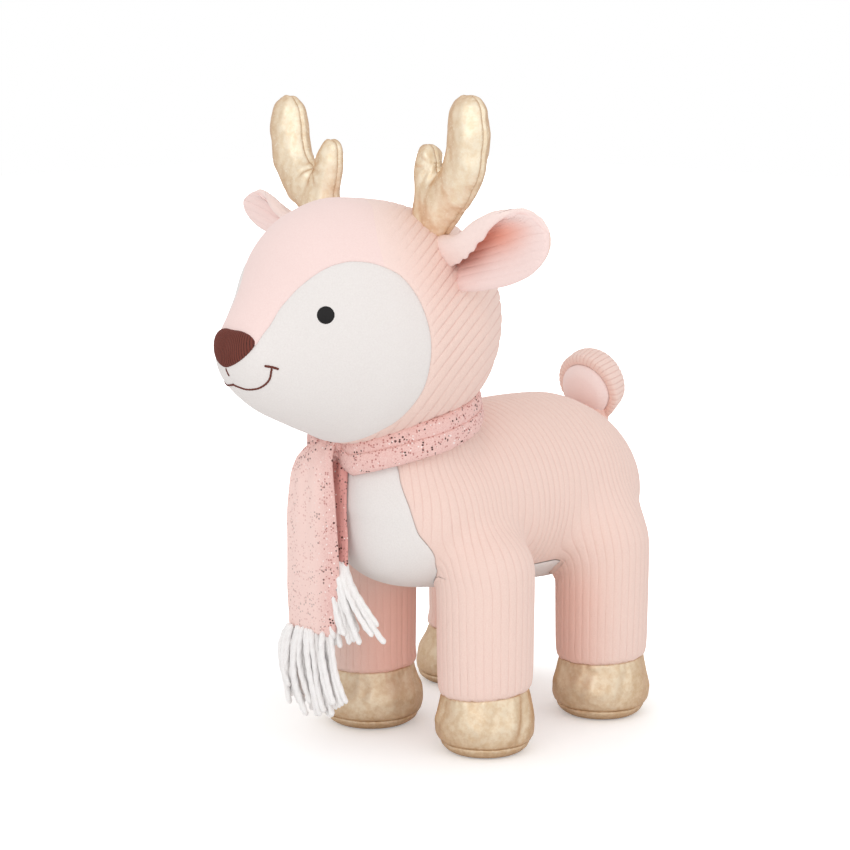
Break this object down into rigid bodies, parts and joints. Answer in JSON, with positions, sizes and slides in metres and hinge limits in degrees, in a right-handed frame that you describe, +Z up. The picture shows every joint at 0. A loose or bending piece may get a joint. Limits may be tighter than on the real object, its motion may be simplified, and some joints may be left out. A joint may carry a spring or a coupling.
{
  "type": "plush deer",
  "caption": "Standing stuffed deer in ribbed pink cloth with a white face and belly, gold foil antlers and hooves, and a fringed scarf.",
  "frame": {"origin": "on the floor under the middle of the bounding box", "axes": "+Z up from the soles, nose towards -Y, the deer's own left towards +X"},
  "size_m": [0.2248, 0.2484, 0.3011],
  "materials": {
    "corduroy": "ribbed",
    "smooth_pink": "short pile",
    "smooth_white": "short pile",
    "gold_foil_cloth": "crinkled metallic foil",
    "brown_thread": "satin stitch",
    "black_thread": "satin stitch",
    "glitter_cloth": "napped with dark flecks",
    "white_yarn": "spun"
  },
  "bodies": {
    "torso": {"body": "corduroy", "belly_panel": "smooth_white", "scarf_loop": "glitter_cloth", "scarf_knot": "glitter_cloth"},
    "head": {"head": "corduroy", "forehead_panel": "smooth_pink", "face_left": "smooth_white", "face_right": "smooth_white", "nose": "brown_thread", "mouth": "brown_thread", "eye_left": "black_thread", "eye_right": "black_thread"},
    "leg_front_left": {"leg_front_left": "corduroy", "hoof_front_left": "gold_foil_cloth", "sole_front_left": "gold_foil_cloth"},
    "leg_front_right": {"leg_front_right": "corduroy", "hoof_front_right": "gold_foil_cloth", "sole_front_right": "gold_foil_cloth"},
    "leg_rear_left": {"leg_rear_left": "corduroy", "hoof_rear_left": "gold_foil_cloth", "sole_rear_left": "gold_foil_cloth"},
    "leg_rear_right": {"leg_rear_right": "corduroy", "hoof_rear_right": "gold_foil_cloth", "sole_rear_right": "gold_foil_cloth"},
    "ear_left": {"ear_back_left": "corduroy", "ear_lining_left": "smooth_pink"},
    "antler_left": {"antler_left": "gold_foil_cloth"},
    "ear_right": {"ear_back_right": "corduroy", "ear_lining_right": "smooth_pink"},
    "antler_right": {"antler_right": "gold_foil_cloth"},
    "tail": {"tail_back": "corduroy", "tail_front": "smooth_pink"},
    "scarf_back": {"scarf_tail_back": "glitter_cloth", "fringe_back": "white_yarn"},
    "scarf_front": {"scarf_tail_front": "glitter_cloth", "fringe_front": "white_yarn"}
  },
  "joints": [
    {"name": "head_turn", "type": "hinge", "parent": "torso", "child": "head", "pos_m": [0.00325, -0.02379, 0.15], "axis": [0, 0, 1], "range_deg": [-12, 12], "stiffness_Nm_per_rad": 1.2},
    {"name": "hip_front_left", "type": "hinge", "parent": "torso", "child": "leg_front_left", "pos_m": [0.04175, -0.01129, 0.084], "axis": [1, 0, 0], "range_deg": [-6, 6], "stiffness_Nm_per_rad": 6},
    {"name": "hip_front_right", "type": "hinge", "parent": "torso", "child": "leg_front_right", "pos_m": [-0.02625, -0.01129, 0.084], "axis": [1, 0, 0], "range_deg": [-6, 6], "stiffness_Nm_per_rad": 6},
    {"name": "hip_rear_left", "type": "hinge", "parent": "torso", "child": "leg_rear_left", "pos_m": [0.04025, 0.07321, 0.084], "axis": [1, 0, 0], "range_deg": [-6, 6], "stiffness_Nm_per_rad": 6},
    {"name": "hip_rear_right", "type": "hinge", "parent": "torso", "child": "leg_rear_right", "pos_m": [-0.04375, 0.07321, 0.084], "axis": [1, 0, 0], "range_deg": [-6, 6], "stiffness_Nm_per_rad": 6},
    {"name": "ear_flap_left", "type": "hinge", "parent": "head", "child": "ear_left", "pos_m": [0.04897, -0.03335, 0.22951], "axis": [-0.5477, 0.0065, 0.8366], "range_deg": [0, 15], "stiffness_Nm_per_rad": 0.03},
    {"name": "antler_bend_left", "type": "hinge", "parent": "head", "child": "antler_left", "pos_m": [0.03924, -0.04511, 0.24401], "axis": [0.9903, -0.1392, 0], "range_deg": [-6, 6], "stiffness_Nm_per_rad": 0.15},
    {"name": "ear_flap_right", "type": "hinge", "parent": "head", "child": "ear_right", "pos_m": [-0.04609, -0.01999, 0.22951], "axis": [0.5283, -0.1448, 0.8366], "range_deg": [-15, 0], "stiffness_Nm_per_rad": 0.03},
    {"name": "antler_bend_right", "type": "hinge", "parent": "head", "child": "antler_right", "pos_m": [-0.03998, -0.03397, 0.24401], "axis": [0.9903, -0.1392, 0], "range_deg": [-6, 6], "stiffness_Nm_per_rad": 0.15},
    {"name": "tail_wag", "type": "hinge", "parent": "torso", "child": "tail", "pos_m": [0.00325, 0.11321, 0.135], "axis": [0, 1, 0], "range_deg": [-8, 8], "stiffness_Nm_per_rad": 0.03},
    {"name": "scarf_back_swing", "type": "hinge", "parent": "torso", "child": "scarf_back", "pos_m": [-0.01675, -0.06373, 0.14138], "axis": [1, 0, 0], "range_deg": [-15, 0]},
    {"name": "scarf_front_swing", "type": "hinge", "parent": "scarf_back", "child": "scarf_front", "pos_m": [-0.01675, -0.06373, 0.14138], "axis": [1, 0, 0], "range_deg": [-20, 0]}
  ]
}
